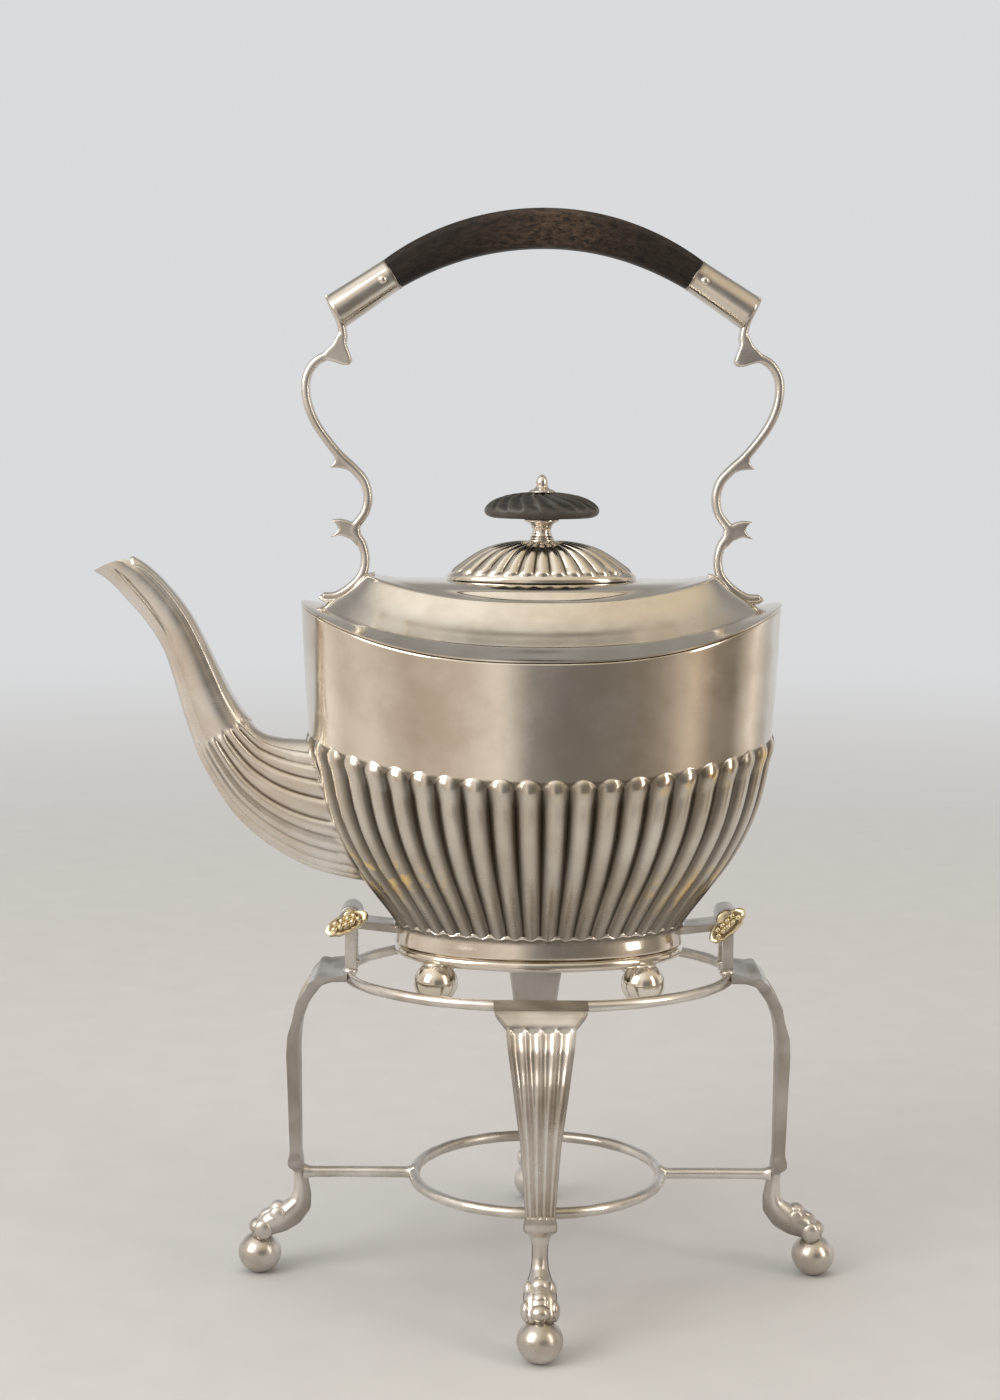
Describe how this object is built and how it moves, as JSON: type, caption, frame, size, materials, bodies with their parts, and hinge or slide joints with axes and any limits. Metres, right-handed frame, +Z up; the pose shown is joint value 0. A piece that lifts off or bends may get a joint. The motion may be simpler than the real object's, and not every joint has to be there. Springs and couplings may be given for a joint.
{
  "type": "spirit kettle on stand",
  "caption": "Oval fluted kettle with hinged lid, spout and fixed bail handle, tilting on a pin over a four-legged stand with a burner ring.",
  "frame": {"origin": "on the table, under the middle of the stand's top ring", "axes": "+X along the kettle away from the spout, +Y from the front to the back, +Z up"},
  "size_m": [0.2746, 0.1882, 0.394],
  "materials": {
    "silver_plate": "worn silver plate, softly polished, warm in the hollows",
    "brass": "cast brass, polished on the beads",
    "grip_wood": "blackened hardwood, worn brown by the hand",
    "button_wood": "blackened hardwood, carved and waxed"
  },
  "bodies": {
    "stand": {"top_ring": "silver_plate", "leg_front": "silver_plate", "leg_back": "silver_plate", "leg_left": "silver_plate", "leg_right": "silver_plate", "stand_ball_feet": "silver_plate", "burner_ring": "silver_plate", "burner_bars": "silver_plate", "pivot_ears": "silver_plate", "rest_ears": "silver_plate"},
    "kettle": {"kettle_body": "silver_plate", "shoulder": "silver_plate", "foot_band": "silver_plate", "base_wire": "silver_plate", "kettle_ball_feet": "silver_plate", "pivot_arm": "silver_plate", "rest_arm": "silver_plate", "spout": "silver_plate", "saddle_left": "silver_plate", "saddle_right": "silver_plate", "handle_arm_left": "silver_plate", "handle_arm_right": "silver_plate", "ferrule_left": "silver_plate", "ferrule_right": "silver_plate", "handle_grip": "grip_wood", "grip_rivets": "silver_plate", "hinge_bracket": "silver_plate", "lid_hinge_pin": "silver_plate"},
    "lid": {"lid_dome": "silver_plate", "lid_collar": "silver_plate", "lid_hinge_leaf": "silver_plate", "finial_stem": "silver_plate", "finial_button": "button_wood", "finial_bolt": "silver_plate", "finial_nut": "brass"},
    "pivot_pin": {"pivot_pin": "silver_plate", "pivot_pin_grip": "brass"},
    "rest_pin": {"rest_pin": "silver_plate", "rest_pin_grip": "brass"}
  },
  "joints": [
    {"name": "kettle_tilt", "type": "hinge", "parent": "stand", "child": "kettle", "pos_m": [-0.0692, 0, 0.137], "axis": [0, -1, 0], "range_deg": [0, 50]},
    {"name": "lid_hinge", "type": "hinge", "parent": "kettle", "child": "lid", "pos_m": [0, 0.0241, 0.2626], "axis": [-1, 0, 0], "range_deg": [0, 100]},
    {"name": "pivot_pin_draw", "type": "slide", "parent": "stand", "child": "pivot_pin", "axis": [0, -1, 0], "range_m": [0, 0.032]},
    {"name": "rest_pin_draw", "type": "slide", "parent": "kettle", "child": "rest_pin", "axis": [0, -1, 0], "range_m": [0, 0.032]}
  ]
}
